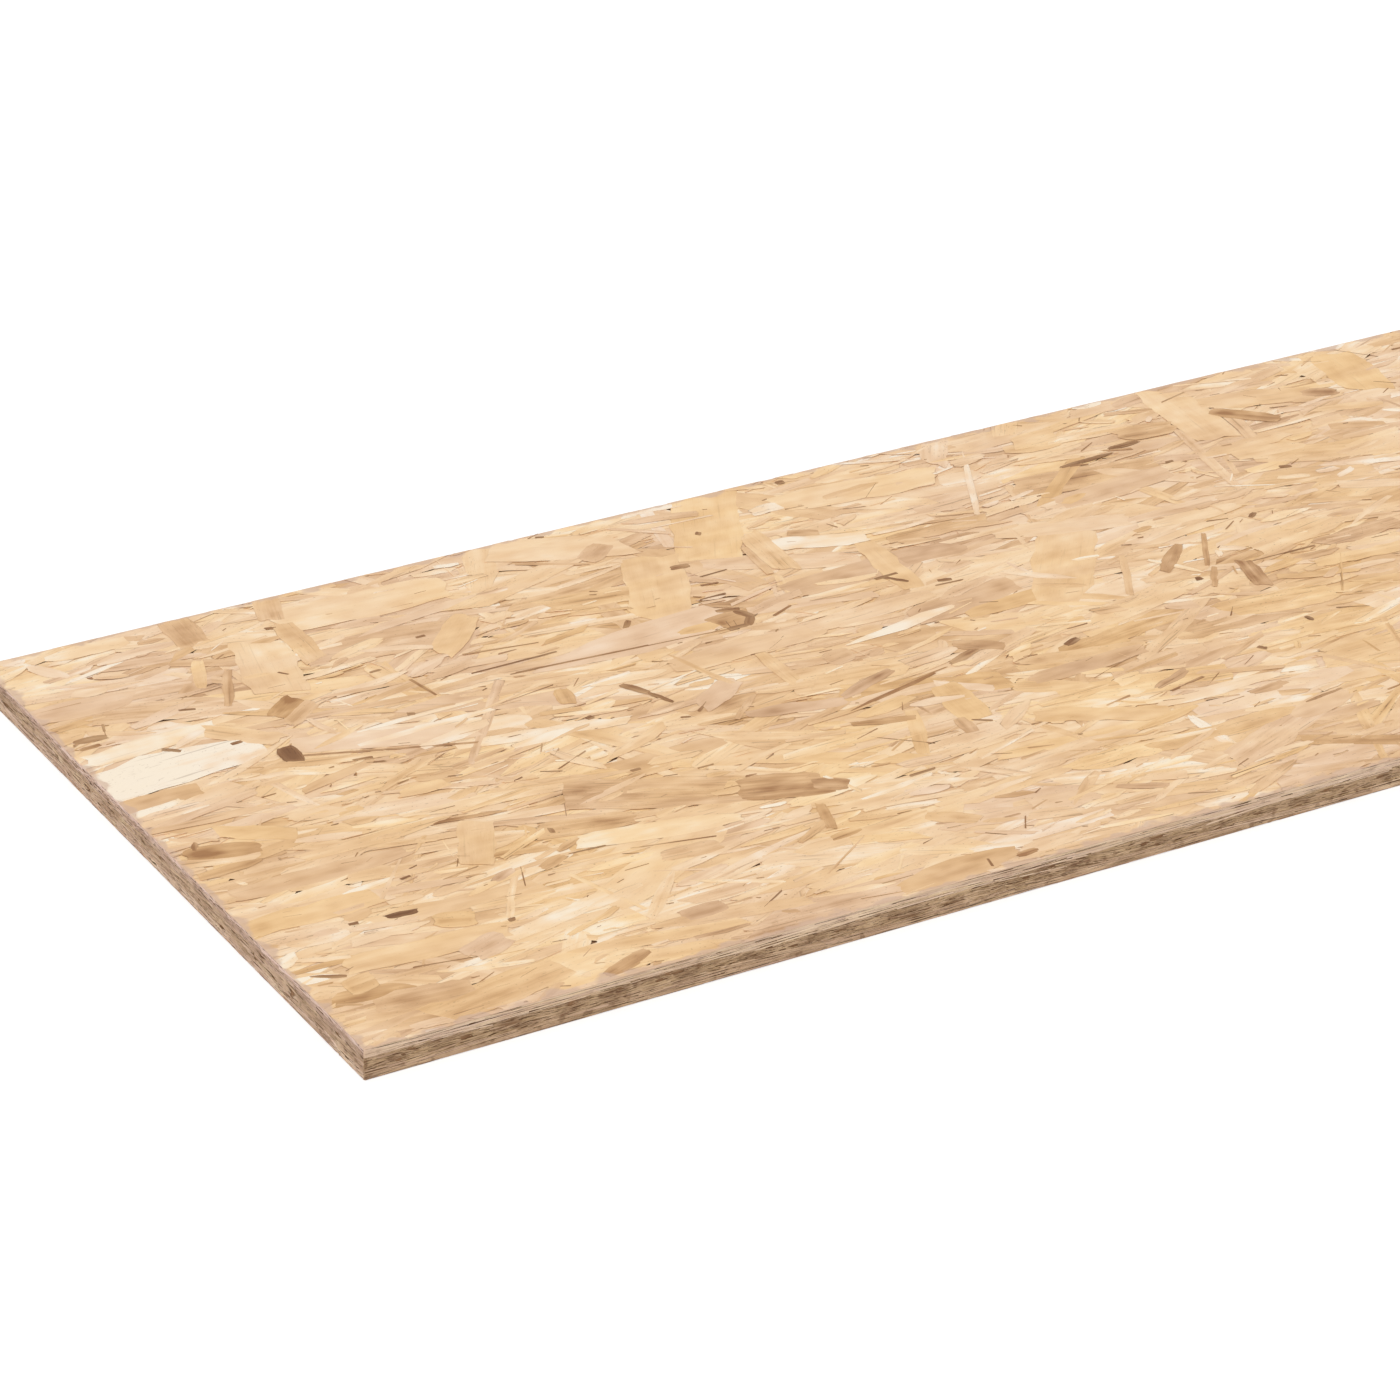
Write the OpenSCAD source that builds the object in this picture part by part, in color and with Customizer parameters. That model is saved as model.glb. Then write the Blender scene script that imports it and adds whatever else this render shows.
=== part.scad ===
// Oriented strand board: one flat panel with sawn, square edges.
// The panel lies flat. X runs along its length, which is also the way the strands of both
// faces run, Y runs across it and Z points up through its thickness.
// The origin is the centre of the underside.

/* [Panel] */
// Length of the panel, along the face strands
panel_length = 2500; // [300:1:5000]
// Width of the panel, across the face strands
panel_width = 625; // [150:1:2500]
// Thickness of the pressed panel
panel_thickness = 25; // [6:0.5:40]

/* [Sawn edges] */
// How far the sharp arrises between a face and a sawn edge are worn back
face_arris = 0.4; // [0.1:0.1:2]
// How far the four upright corners are worn back, which are knocked more in handling
corner_arris = 0.8; // [0.1:0.1:5]

/* [Hidden] */

// Outline of a rectangle centred on the origin, with its four corners cut at 45 degrees,
// anticlockwise from the lower right corner
function worn_rectangle(size_x, size_y, cut) =
    let (x = size_x / 2, y = size_y / 2)
    [
        [x - cut, -y], [x, cut - y],
        [x, y - cut], [x - cut, y],
        [cut - x, y], [-x, y - cut],
        [-x, cut - y], [cut - x, -y]
    ];

// The plan of the panel raised to its thickness: length, width and upright corners
module plan_prism() {
    linear_extrude(height = panel_thickness)
        polygon(worn_rectangle(panel_length, panel_width, corner_arris));
}

// The cross-section run along the length, which wears the arrises of the two long edges
module long_edge_prism() {
    translate([-panel_length / 2, 0, panel_thickness / 2])
        rotate([90, 0, 90])
            linear_extrude(height = panel_length)
                polygon(worn_rectangle(panel_width, panel_thickness, face_arris));
}

// The lengthwise section run across the width, which wears the arrises of the two ends
module end_prism() {
    translate([0, panel_width / 2, panel_thickness / 2])
        rotate([90, 0, 0])
            linear_extrude(height = panel_width)
                polygon(worn_rectangle(panel_length, panel_thickness, face_arris));
}

// The panel: strands pressed and glued into one piece, then sawn square on all four sides
module board() {
    color([0.82, 0.66, 0.47])
        intersection() {
            plan_prism();
            long_edge_prism();
            end_prism();
        }
}

board();
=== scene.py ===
# %% [markdown]
# # An oriented strand board
#
# The real board is a mat of thin wood strands, sprayed with resin and pressed hot into one
# panel, which is then sawn square on four sides. The solid from the CAD model gives its size.
# Everything that makes it look like strand board is added here: the strands of both faces,
# one by one, and the cut layers that the saw lays open on the four edges.
#
# The board could be one box with a drawn-on pattern. But a strand has a real outline, lies
# over its neighbours and has its own grain direction, and all of that is easier to get right
# by laying strands than by bending noise into their shape. So this script lays them.

# %% Load the packed board
import math
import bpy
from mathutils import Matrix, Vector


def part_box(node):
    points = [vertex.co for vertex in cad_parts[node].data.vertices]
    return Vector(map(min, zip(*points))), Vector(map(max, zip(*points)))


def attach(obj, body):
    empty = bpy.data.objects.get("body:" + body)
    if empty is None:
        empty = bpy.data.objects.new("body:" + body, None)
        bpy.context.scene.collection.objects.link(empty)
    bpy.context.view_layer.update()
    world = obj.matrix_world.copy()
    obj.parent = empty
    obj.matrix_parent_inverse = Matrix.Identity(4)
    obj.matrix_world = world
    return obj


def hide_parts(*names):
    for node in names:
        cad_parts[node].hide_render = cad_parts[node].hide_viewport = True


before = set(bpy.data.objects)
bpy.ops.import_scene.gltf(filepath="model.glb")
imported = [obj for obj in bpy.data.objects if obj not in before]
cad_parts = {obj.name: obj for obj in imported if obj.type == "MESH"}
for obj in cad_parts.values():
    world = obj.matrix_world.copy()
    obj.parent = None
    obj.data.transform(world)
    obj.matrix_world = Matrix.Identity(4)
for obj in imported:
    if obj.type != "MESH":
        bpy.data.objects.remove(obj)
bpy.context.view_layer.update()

from types import SimpleNamespace

import bmesh
import bpy
import numpy as np
from mathutils import Matrix, Vector

board_low, board_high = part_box("board")
BOARD_LENGTH, BOARD_WIDTH, BOARD_THICKNESS = (1000 * side for side in board_high - board_low)
print(f"board: {BOARD_LENGTH:.0f} x {BOARD_WIDTH:.0f} x {BOARD_THICKNESS:.0f} mm")

# %% [markdown]
# ## The camera
#
# A long lens from a few metres away shows the board in three-quarter view, with its near
# corner low in the frame and its far end running out of it. The camera is placed by what it
# aims at, how far off it stands and the angles it looks along and down, because those are
# what a tripod is set to. It also leans very slightly to one side.

# %% Place the camera
AIM_POINT = Vector((-0.798, 0.009, board_high.z))
CAMERA_DISTANCE = 4.055
LOOKS_ALONG = math.radians(-31.45)
LOOKS_DOWN = math.radians(28.09)
LEANS = math.radians(1.66)
LENS = 138.5  # millimetres, as the sensor's width is
SENSOR_WIDTH = 36


def add_object(name, data):
    """A new object in the scene."""
    made = bpy.data.objects.new(name, data)
    bpy.context.scene.collection.objects.link(made)
    return made


def place_camera():
    """A camera aimed at a point of the upper face."""
    camera = add_object("camera", bpy.data.cameras.new("camera"))
    camera.data.sensor_width = SENSOR_WIDTH
    camera.data.lens = LENS
    turn = Matrix.Rotation(LOOKS_ALONG, 4, "Z") @ Matrix.Rotation(math.pi / 2 - LOOKS_DOWN, 4, "X")
    turn = turn @ Matrix.Rotation(LEANS, 4, "Z")
    stand_off = Matrix.Translation((0, 0, CAMERA_DISTANCE))
    camera.matrix_world = Matrix.Translation(AIM_POINT) @ turn @ stand_off
    bpy.context.scene.camera = camera
    return camera


camera = place_camera()
print("camera at", [round(x, 3) for x in camera.matrix_world.translation])

# %% [markdown]
# ## Light and background
#
# A soft light from above, as from a wide studio ceiling, and an even glow from all round.
# Together they light an upward face at a level of about one, at which a colour renders as
# written. Behind the board the camera sees plain white instead of the glow, which is dimmer.

# %% Light the board
SKY_LEVEL = 0.56
LAMP_LEVEL = 0.50
LAMP_SPREAD = math.radians(50)
LAMP_STANDS = Vector((-0.45, -0.5, 1))
WHITE = (1, 1, 1, 1)


def light_scene():
    """The even glow all round and the soft lamp overhead."""
    world = bpy.data.worlds.new("studio")
    bpy.context.scene.world = world
    world.use_nodes = True
    nodes, links = world.node_tree.nodes, world.node_tree.links
    glow = nodes["Background"]
    glow.inputs["Strength"].default_value = SKY_LEVEL
    backdrop = nodes.new("ShaderNodeBackground")
    light_path = nodes.new("ShaderNodeLightPath")
    chosen = nodes.new("ShaderNodeMixShader")
    links.new(light_path.outputs["Is Camera Ray"], chosen.inputs[0])
    links.new(glow.outputs[0], chosen.inputs[1])
    links.new(backdrop.outputs[0], chosen.inputs[2])
    links.new(chosen.outputs[0], nodes["World Output"].inputs["Surface"])
    for background in (glow, backdrop):
        background.inputs["Color"].default_value = WHITE
    lamp = add_object("ceiling_light", bpy.data.lights.new("ceiling_light", "SUN"))
    lamp.data.energy = LAMP_LEVEL * math.pi
    lamp.data.angle = LAMP_SPREAD
    lamp.rotation_euler = LAMP_STANDS.to_track_quat("Z", "Y").to_euler()


light_scene()
bpy.context.scene.view_settings.view_transform = "Standard"
print(f"level of the glow {SKY_LEVEL:.2f}, of the lamp {LAMP_LEVEL:.2f}")

# %% [markdown]
# ## The floor
#
# One wide square a fifth of a millimetre below the board, so that the two never share a plane.
# It is pale and plain, and it glows for the camera only. So it looks white without throwing
# that white back onto the board, and it still shows the board's shadow.

# %% Lay the floor
FLOOR_SIDE = 80
FLOOR_GAP = 0.0002
FLOOR_GREY = 0.72
FLOOR_GLOW = 0.40


def floor_material():
    """Pale and dull, with a glow that only the camera sees."""
    material = bpy.data.materials.new("floor")
    material.use_nodes = True
    nodes, links = material.node_tree.nodes, material.node_tree.links
    nodes.clear()
    dull = nodes.new("ShaderNodeBsdfDiffuse")
    dull.inputs["Color"].default_value = (FLOOR_GREY, FLOOR_GREY, FLOOR_GREY, 1)
    glow = nodes.new("ShaderNodeEmission")
    light_path = nodes.new("ShaderNodeLightPath")
    level = nodes.new("ShaderNodeMath")
    level.operation = "MULTIPLY"
    level.inputs[1].default_value = FLOOR_GLOW
    both = nodes.new("ShaderNodeAddShader")
    output = nodes.new("ShaderNodeOutputMaterial")
    links.new(light_path.outputs["Is Camera Ray"], level.inputs[0])
    links.new(level.outputs[0], glow.inputs["Strength"])
    links.new(dull.outputs[0], both.inputs[0])
    links.new(glow.outputs[0], both.inputs[1])
    links.new(both.outputs[0], output.inputs["Surface"])
    return material


def object_from(name, shape, material):
    """A new object made of a finished bmesh."""
    mesh = bpy.data.meshes.new(name)
    shape.to_mesh(mesh)
    shape.free()
    mesh.materials.append(material)
    return add_object(name, mesh)


def lay_floor():
    """One wide square just under the board."""
    shape = bmesh.new()
    bmesh.ops.create_grid(shape, x_segments=1, y_segments=1, size=FLOOR_SIDE / 2)
    bmesh.ops.translate(shape, verts=shape.verts, vec=(0, 0, board_low.z - FLOOR_GAP))
    floor = object_from("floor", shape, floor_material())


lay_floor()
print(f"floor: {FLOOR_SIDE} m square")

# %% [markdown]
# ## One strand
#
# A strand is a flake of wood cut along the grain: up to about 150 mm long, 5 to 50 mm wide
# and under a millimetre thick. Its sides follow the grain and its ends break off at a slant,
# taper away or tear. Its outline is described by a few numbers, so that the same formula
# serves to test where it lies and to shape its mesh. `along` runs from -1 at one end to 1 at
# the other.

# %% Outline of a strand
FIELDS = (
    "x y angle length width taper_a taper_b power_a power_b slant_a slant_b "
    "tear wave phase bow tone hue dark depth"
).split()


def half_width(s, along, side):
    """From the centre line to one side (1 or -1) at a place along the strand, in mm."""
    near = s.taper_a * np.clip(-along, 0, 1) ** s.power_a
    far = s.taper_b * np.clip(along, 0, 1) ** s.power_b
    ripple = np.sin(5 * along + s.phase + 2 * side) + 0.7 * np.sin(11 * along - s.phase + side)
    ripple = ripple + 0.6 * np.sin(17 * along + 3 * s.phase - side)
    return s.width / 2 * (1 - near - far) * (1 + s.wave * ripple)


def centre_line(s, along):
    """How far the middle of a slightly bent strand lies to the side, in mm."""
    return s.bow * s.length * (along**2 - 1 / 3)


def torn_back(s, across):
    """How far the ends are torn back at a place across the strand, in mm."""
    ripple = np.sin(5 * across + s.phase) + 0.7 * np.sin(11 * across + 3 * s.phase)
    return s.tear * (0.5 + 0.3 * ripple)


print(f"a strand is described by {len(FIELDS)} numbers")

# %% [markdown]
# ## A new strand
#
# The numbers of a strand's shape are drawn from a seeded random generator, so the board comes
# out the same each time. A number that must not be left to chance is given by name and takes
# the place of the drawn one. It is drawn all the same, so that setting it doesn't change any
# strand that comes later.

# %% Draw the shape of a strand
DEEPEST_TEAR = 9  # millimetres
STEEPEST_SLANT = 0.7  # times a strand's length over its width, so that its ends don't meet


def new_strand(rng, length, width, angle, tone, hue, dark=0.0, **shape):
    """A strand at the origin, with the random part of its shape drawn."""
    s = SimpleNamespace(
        x=0.0, y=0.0, angle=angle, length=length, width=width,
        taper_a=rng.random() ** 1.3, taper_b=rng.random() ** 1.3,
        power_a=rng.uniform(1, 4), power_b=rng.uniform(1, 4),
        slant_a=rng.normal(0, 0.7), slant_b=rng.normal(0, 0.7),
        tear=rng.uniform(0, min(0.6 * width, DEEPEST_TEAR, length / 8)),
        wave=rng.uniform(0.02, 0.18) * min(1, length / width / 6),
        phase=rng.uniform(0, 6.28), bow=rng.normal(0, 0.012),
        tone=tone, hue=hue, dark=dark, depth=0.0,
    )
    vars(s).update(shape)
    most = STEEPEST_SLANT * s.length / s.width
    s.slant_a = min(max(s.slant_a, -most), most)
    s.slant_b = min(max(s.slant_b, -most), most)
    return s


sample = new_strand(np.random.default_rng(1), 120, 20, 0.0, 0.4, 0.5)
near_end = half_width(sample, 0.9, 1) + half_width(sample, 0.9, -1)
print(f"a strand 20 mm wide is {near_end:.1f} mm wide near its end")

# %% [markdown]
# ## Laying a mat from the surface inwards
#
# In the mill the mat is strewn from the bottom up, and only its last layer shows. Laid in
# that order, most strands would be made and never seen. This goes the other way: the strand
# on top is laid first, and each later one goes under those that are there, at a place where
# the surface is still bare. A map of small cells holds how deep the lowest strand is in each
# cell, so a new strand goes just below the deepest one that it passes under, and no two
# strands cut through each other. Laying stops when nearly no cell is bare.

# %% Lay a mat
DEEPEST = 1.4  # millimetres, the lowest that any strand of a mat lies


class Mat:
    """A rectangle centred on the origin, in mm, that is covered with strands."""

    def __init__(self, span_x, span_y, cell_x, cell_y, step, seed):
        self.span = (span_x, span_y)
        self.cell = (cell_x, cell_y)
        self.step = step
        self.rng = np.random.default_rng(seed)
        shape = (math.ceil(span_y / cell_y), math.ceil(span_x / cell_x))
        self.deepest = np.full(shape, -1.0, np.float32)  # below 0, a cell is bare
        self.strands = []

    def centre(self, index, axis):
        """Where the middle of a cell lies along x (0) or y (1), in mm."""
        return (index + 0.5) * self.cell[axis] - self.span[axis] / 2

    def cells_near(self, place, reach, axis):
        """The first cell within reach of a place along x or y, and the one past the last."""
        first = int((place - reach + self.span[axis] / 2) / self.cell[axis])
        last = int((place + reach + self.span[axis] / 2) / self.cell[axis])
        return max(first, 0), min(last + 1, self.deepest.shape[1 - axis])

    def window(self, s):
        """The cells round a strand, and which of them it covers."""
        turn_x, turn_y = math.cos(s.angle), math.sin(s.angle)
        reach_x = (abs(turn_x) * s.length + abs(turn_y) * s.width) / 2 + abs(s.bow) * s.length
        reach_y = (abs(turn_y) * s.length + abs(turn_x) * s.width) / 2 + abs(s.bow) * s.length
        first_x, last_x = self.cells_near(s.x, reach_x, 0)
        first_y, last_y = self.cells_near(s.y, reach_y, 1)
        if last_x <= first_x or last_y <= first_y:
            return None, None
        dx = self.centre(np.arange(first_x, last_x), 0) - s.x
        dy = (self.centre(np.arange(first_y, last_y), 1) - s.y)[:, None]
        u = dx * turn_x + dy * turn_y
        v = dy * turn_x - dx * turn_y
        along = np.clip(2 * u / s.length, -1, 1)
        v = v - centre_line(s, along)
        half = half_width(s, along, np.sign(v))
        inside = np.abs(v) < half
        reach = s.length / 2 - torn_back(s, v / (half + 0.01))
        inside &= (u > s.slant_a * v - reach) & (u < s.slant_b * v + reach)
        return (slice(first_y, last_y), slice(first_x, last_x)), inside

    def lay(self, s, least_bare=0.0):
        """Puts a strand under all that it meets, if enough of it lies on bare cells."""
        where, inside = self.window(s)
        if where is None or not inside.any():
            return
        below = self.deepest[where][inside]
        bare = np.count_nonzero(below < 0)
        if bare == 0 or bare < least_bare * len(below) or below.max() + self.step > DEEPEST:
            return
        if bare < len(below):
            s.depth = max(s.depth, float(below.max()) + self.step)
        self.deepest[where][inside] = s.depth
        self.strands.append(s)

    def leave_open(self, x, y, length, height):
        """Keeps an oval free of strands, as a gap in the mat."""
        rows, columns = self.deepest.shape
        across = self.centre(np.arange(columns), 0) - x
        up = self.centre(np.arange(rows), 1) - y
        oval = (2 * across / length) ** 2 + (2 * up[:, None] / height) ** 2 < 1
        self.deepest[oval] = DEEPEST


empty = Mat(100, 50, 1.0, 1.0, 0.1, 0)
print("a mat of 100 x 50 mm has", empty.deepest.size, "cells of one millimetre")

# %% [markdown]
# ## Finding bare places
#
# Strands could be thrown down anywhere until the mat is full, but near the end almost all of
# them would land on covered places. So each one is aimed at a bare cell picked at random, and
# then shifted by a random part of its size, because the cell may lie under any part of it.

# %% Fill a mat
MOST_ROUNDS = 400
TRIES = 300  # bare cells that are picked in one round


def fill_mat(mat, goal, least_bare, draw):
    """Lays strands from draw(x, y) on bare places until a share of the cells is covered."""
    for _ in range(MOST_ROUNDS):
        bare = np.argwhere(mat.deepest < 0)
        if len(bare) <= (1 - goal) * mat.deepest.size:
            break
        for row, column in bare[mat.rng.integers(len(bare), size=TRIES)]:
            if mat.deepest[row, column] >= 0:
                continue
            x, y = mat.centre(column, 0), mat.centre(row, 1)
            s = draw(x, y)
            off_u = mat.rng.uniform(-0.45, 0.45) * s.length
            off_v = mat.rng.uniform(-0.4, 0.4) * s.width
            s.x = x - off_u * math.cos(s.angle) + off_v * math.sin(s.angle)
            s.y = y - off_u * math.sin(s.angle) - off_v * math.cos(s.angle)
            mat.lay(s, least_bare)


# %% [markdown]
# ## Darker and paler places
#
# Wood from one log tends to lie together in the mat, so the tone drifts from place to place.
# Slow waves give the drift all over the board, and a few soft spots add the darker and paler
# places that are plainest to see. A noise texture could shift the colours instead, but it would
# shift them inside a strand as well.

# %% Shift the tone from place to place
SWELLS = (  # x, y and reach in mm, and how much darker or, below 0, paler the wood is there
    (-900, 200, 100, -0.08),
    (-430, 200, 80, -0.09),
    (-580, 90, 100, 0.11),
    (-740, 115, 60, 0.08),
    (-340, -35, 60, -0.12),
    (-910, -70, 80, -0.10),
    (-1190, -200, 80, 0.10),
    (-700, -110, 80, 0.07),
    (-470, -220, 70, 0.08),
    (-790, -265, 70, -0.08),
)


def drift(x, y, start):
    """A slow swell from about -1 to 1 over the face."""
    return (
        math.sin(x / 97 + start) + math.sin(y / 41 + 2 * start) + math.sin((x - 2 * y) / 73 + 5)
    ) / 2


def swell(x, y):
    """How much darker the wood is round a place than elsewhere."""
    return sum(
        change * math.exp(-((x - at_x) ** 2 + (y - at_y) ** 2) / (2 * reach**2))
        for at_x, at_y, reach, change in SWELLS
    )


print(f"the wood round the largest knot is darker by {swell(-708, 112):.2f}")

# %% [markdown]
# ## Kinds of face strand
#
# Most strands of a face lie along the board, within about 15 degrees, and a few lie across.
# Whole strands, broken ones and fines differ in size and colour. Each kind has its usual tone
# from 0, cream, to 1, brown, and a share of strands from the pale sapwood and from the brown
# heartwood. A narrow strand may run out to a point, but a wide one breaks off blunt. The last
# value says how stained a strand is: 1 is bark, 0 has the usual dark dashes and below 0 the
# wood is plainer than usual.

# %% Draw a face strand
KINDS = {  # width: the middle one, the usual ratio to it, least and most
    "long": {
        "length": (80, 150), "width": (16, 1.6, 6, 45),
        "tone": (0.39, 0.09), "pale": 0.03, "brown": 0.12, "brown_tone": (0.58, 0.05),
    },
    "broken": {
        "length": (20, 75), "width": (7, 1.6, 2.5, 24),
        "tone": (0.39, 0.115), "pale": 0.05, "brown": 0.15, "brown_tone": (0.63, 0.08),
    },
    "fine": {
        "length": (5, 28), "width": (2.5, 1.6, 1, 8),
        "tone": (0.39, 0.14), "pale": 0.10, "brown": 0.16, "brown_tone": (0.75, 0.12),
    },
}
PALE_TONE = (0.19, 0.05)
ALONG_SHARE = 0.88  # of the strands lie along the board, and the others anyhow
LEAN = 13  # degrees, how far the first are usually turned
TONE_DRIFT, HUE_DRIFT = 0.10, 0.28  # how far slow swells over the face shift them
BLUNT_WIDTH = 15  # millimetres: wider strands break off blunt and don't run out to a point


def spread(rng, middle, ratio, least, most):
    """A random size, mostly between the middle one over the ratio and the middle one times it."""
    return min(max(middle * ratio ** rng.normal(0, 1), least), most)


def face_strand(rng, kind, x, y, seed):
    """A strand of one kind, as found near a place on the face."""
    ways = KINDS[kind]
    chance = rng.random()
    if chance < ways["pale"]:
        tone = rng.normal(*PALE_TONE)
    elif chance < ways["pale"] + ways["brown"]:
        tone = rng.normal(*ways["brown_tone"])
    else:
        tone = rng.normal(*ways["tone"])
    tone += TONE_DRIFT * drift(x, y, seed) + swell(x, y)
    hue = rng.normal(0.5, 0.2) + HUE_DRIFT * drift(y, x, seed + 1)
    angle = rng.normal(0, LEAN) if rng.random() < ALONG_SHARE else rng.uniform(-90, 90)
    length, width = rng.uniform(*ways["length"]), spread(rng, *ways["width"])
    s = new_strand(rng, length, width, math.radians(angle), tone, hue, -0.5 * rng.random() ** 2)
    pointed = min(1, BLUNT_WIDTH / width)
    s.taper_a, s.taper_b = s.taper_a * pointed, s.taper_b * pointed
    s.power_a, s.power_b = s.power_a + 4 * (1 - pointed), s.power_b + 4 * (1 - pointed)
    return s


print("kinds of strand:", ", ".join(KINDS))

# %% [markdown]
# ## The strands that the eye finds first
#
# On any board a few strands stand out: a broad pale flake, brown chips with a knot in them,
# dark slivers of bark. They tell this board from the next one, so they get places of their
# own on the upper face. Each row gives the middle, the length and width and the angle, in
# millimetres and degrees seen from above, and how much the ends taper: 0 is square and 0.9 is
# a point. The last value of a bit of bark is how stained it is.

# %% Bits of bark
BARK_TONE, BARK_HUE = 0.9, 0.5
BARK = (
    (-1108, 78, 25, 17, 84, 0.4, 0.75),
    (-1145, 176, 15, 4, -20, 0.5, 0.7),
    (-1182, 124, 17, 5, -40, 0.3, 0.7),
    (-1135, 112, 10, 5, 5, 0.3, 0.5),
    (-1144, -166, 26, 7, -5, 0.4, 1.0),
    (-1180, -162, 9, 4, -5, 0.5, 0.8),
    (-1118, -122, 9, 3, 10, 0.3, 0.6),
    (-1228, -217, 26, 5, -25, 0.8, 0.45),
    (-1228, 167, 28, 9, -4, 0.4, 0.4),
    (-1213, 174, 22, 3, 72, 0.6, 0.4),
    (-1233, 156, 18, 5, 4, 0.5, 0.08),
    (-1080, -209, 6, 5, 0, 0.3, 0.6),
    (-1064, 47, 17, 4, -10, 0.7, 0.4),
    (-1058, 38, 17, 4, -15, 0.7, 0.4),
    (-1030, 265, 10, 4, -10, 0.3, 0.6),
    (-1055, 194, 10, 4, -50, 0.5, 0.5),
    (-992, 165, 10, 4, 5, 0.7, 0.45),
    (-1000, 92, 8, 5, -20, 0.3, 0.5),
    (-972, 125, 34, 4, -80, 0.6, 0.15),
    (-935, 199, 9, 4, 0, 0.4, 0.45),
    (-892, 128, 76, 3, 1, 0.7, 0.55),
    (-890, 153, 62, 3, -9, 0.7, 0.25),
    (-843, 109, 115, 4, -4, 0.7, 0.3),
    (-698, 209, 17, 7, -5, 0.3, 0.3),
    (-680, 187, 27, 4, 3, 0.7, 0.8),
    (-702, 152, 25, 4, 2, 0.7, 0.85),
    (-784, 143, 13, 5, 50, 0.3, 0.35),
    (-655, 253, 6, 5, 50, 0.3, 0.45),
    (-703, 127, 20, 6, -12, 0.4, 0.25),
    (-695, 116, 20, 8, -62, 0.4, 0.5),
    (-697, 104, 17, 8, 52, 0.4, 0.45),
    (-709, 99, 22, 6, 2, 0.4, 0.5),
    (-715, 106, 14, 3, 80, 0.7, 0.7),
    (-709, 106, 11, 3, 75, 0.7, 0.55),
    (-812, 106, 185, 2, -4, 0.6, 0.25),
    (-740, -300, 14, 4, 75, 0.5, 0.35),
    (-708, -300, 22, 8, 5, 0.5, 0.0),
    (-925, -168, 66, 4, -12, 0.7, 0.25),
    (-562, 119, 24, 4, 3, 0.4, 0.6),
    (-558, 110, 22, 5, -48, 0.2, 0.7),
    (-548, 303, 8, 6, 0, 0.3, 0.5),
    (-525, 92, 13, 5, -15, 0.3, 0.6),
    (-524, 86, 26, 3, -3, 0.5, 0.45),
    (-495, -43, 17, 7, 20, 0.6, 0.65),
    (-582, -24, 40, 8, 17, 0.5, 0.2),
    (-345, 0, 6, 6, 0, 0.3, 0.7),
    (-308, -97, 9, 5, -75, 0.5, 0.9),
    (-370, -120, 9, 5, -50, 0.3, 0.6),
    (-301, 221, 56, 6, 4, 0.6, 0.6),
    (-258, 231, 36, 7, 3, 0.7, 0.4),
    (-242, 187, 8, 4, 0, 0.3, 0.65),
    (-162, 135, 11, 5, -15, 0.4, 0.5),
    (-167, 289, 32, 4, 15, 0.7, 0.4),
    (-240, 73, 11, 5, 35, 0.6, 0.6),
    (-258, 5, 62, 3, 0, 0.4, 0.45),
    (-490, -274, 46, 3, 6, 0.7, 0.65),
    (-456, -142, 38, 4, 12, 0.6, 0.25),
    (-832, 48, 25, 8, -60, 0.4, 0.35),
    (-822, 28, 26, 5, -66, 0.6, 0.5),
    (-885, 24, 7, 5, 20, 0.3, 0.7),
    (-801, 0, 18, 4, 40, 0.7, 0.35),
    (-895, -62, 9, 4, 0, 0.3, 0.4),
    (-710, -164, 24, 4, 4, 0.7, 0.45),
    (-627, -117, 17, 3, -32, 0.5, 0.5),
    (-1044, -160, 28, 3, 68, 0.8, 0.35),
    (-994, -112, 9, 5, 80, 0.3, 0.4),
    (-985, -148, 31, 3, -3, 0.8, 0.55),
    (-1146, -238, 52, 3, -10, 0.8, 0.35),
    (-1230, -13, 14, 5, 60, 0.6, 0.2),
    (-375, -206, 42, 5, 8, 0.8, 0.3),
)
print(len(BARK), "bits of bark")

# %% [markdown]
# ## Chips
#
# Chips lie on top as well. Most are short, broad bits of brown heartwood, some of them round a
# knot. A few are long and thin, and one is a big white flake of sapwood. They have no bark on
# them, so their rows end with a tone and a hue.

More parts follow.
